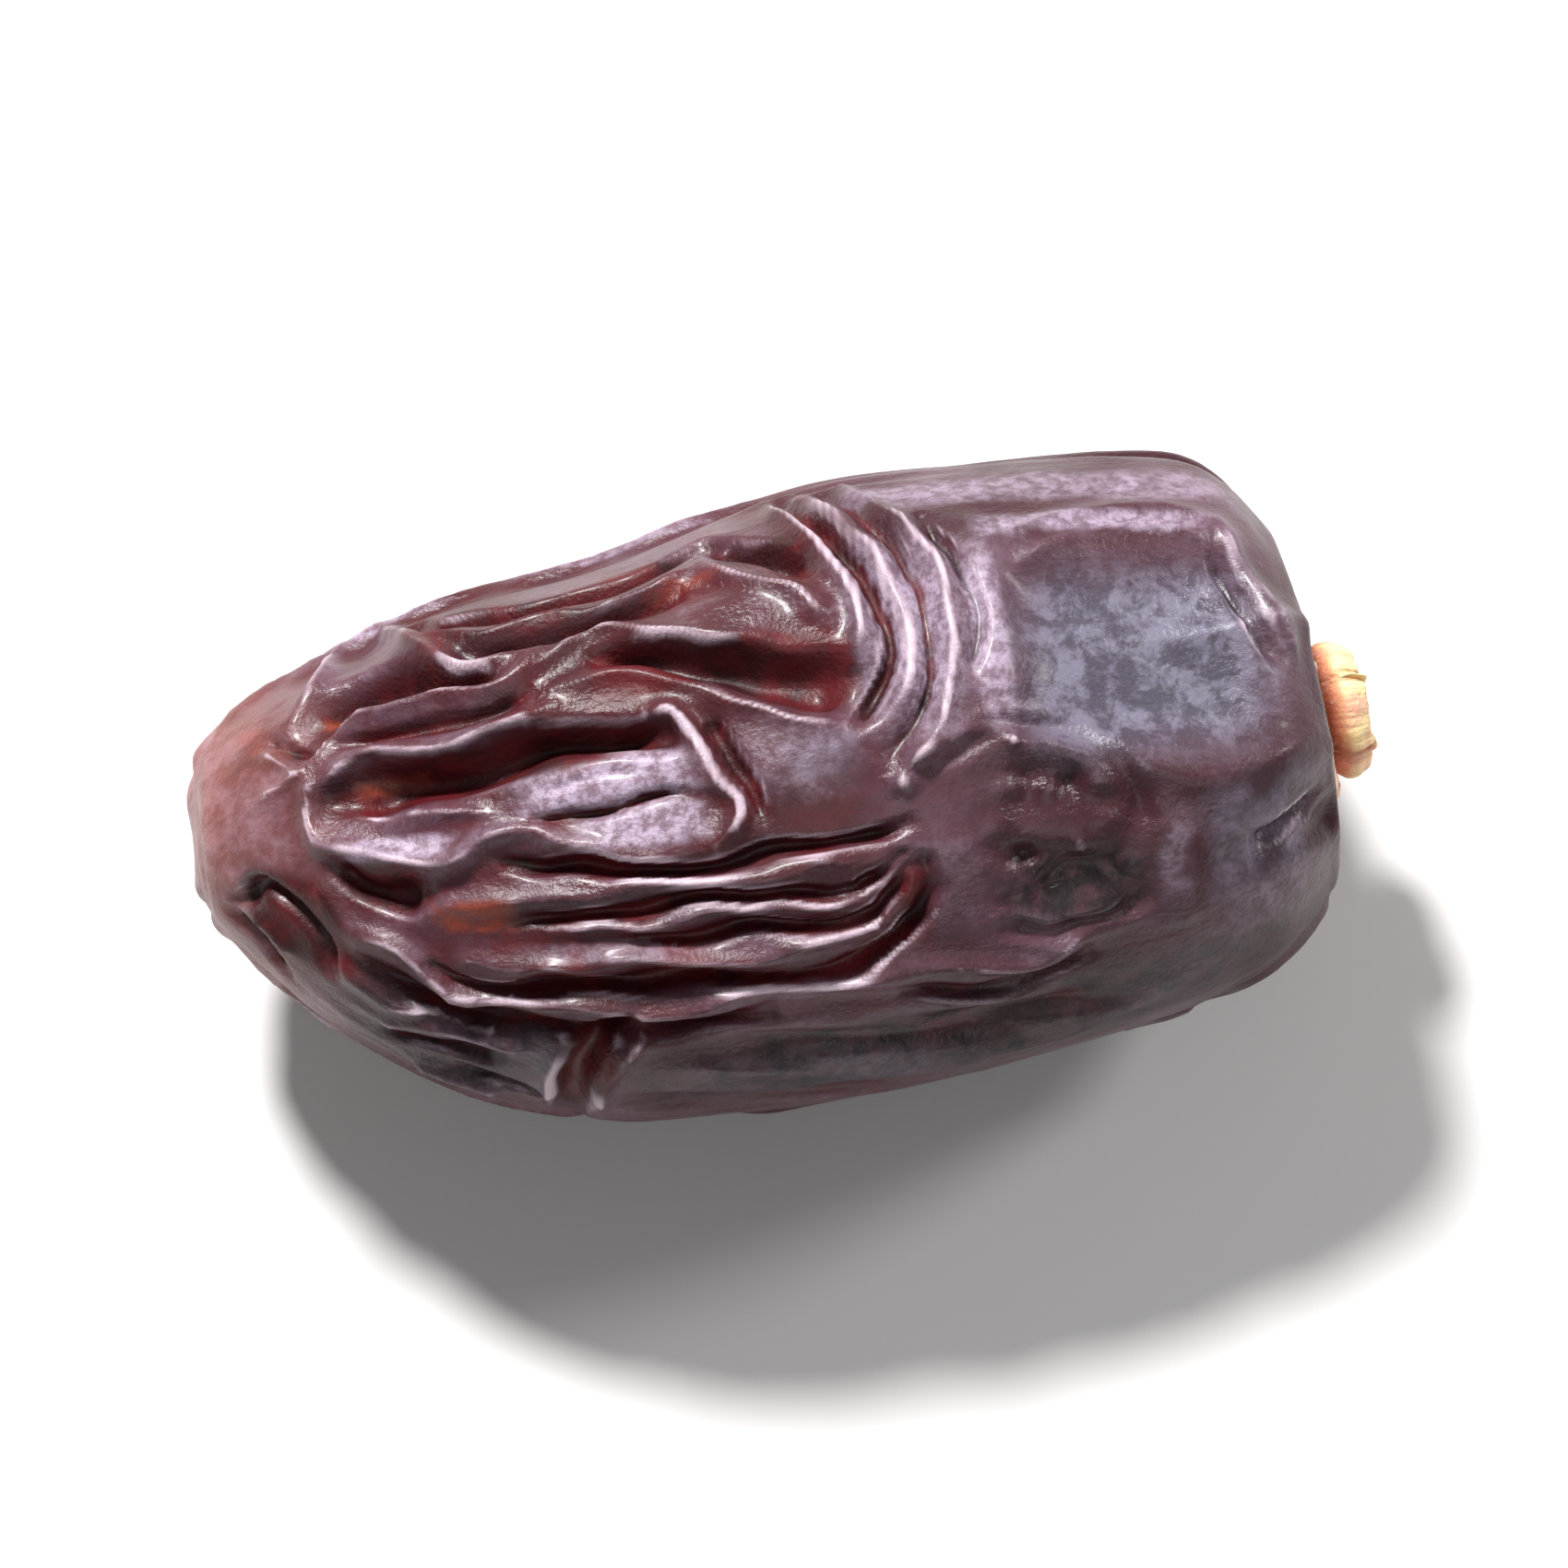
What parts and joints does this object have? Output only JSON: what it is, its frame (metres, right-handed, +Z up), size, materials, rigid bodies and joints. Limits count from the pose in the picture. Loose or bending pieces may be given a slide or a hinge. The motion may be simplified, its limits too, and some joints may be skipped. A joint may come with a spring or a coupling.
{
  "type": "dried date",
  "caption": "Dried date, longish and wrinkled, with a blunt tip, a dented broad end and a dry three-lobed calyx cap with a raised stalk scar.",
  "frame": {"origin": "on the surface that the date lies on, under the middle of its outline", "axes": "+X along the date from its tip to its calyx, +Y to its side, +Z up"},
  "size_m": [0.0424, 0.023, 0.0197],
  "materials": {
    "date_skin": "glossy wrinkled skin with a greyish bloom",
    "dry_calyx": "dry and papery"
  },
  "bodies": {
    "root": {"date_fruit": "date_skin", "date_calyx": "dry_calyx"}
  },
  "joints": []
}
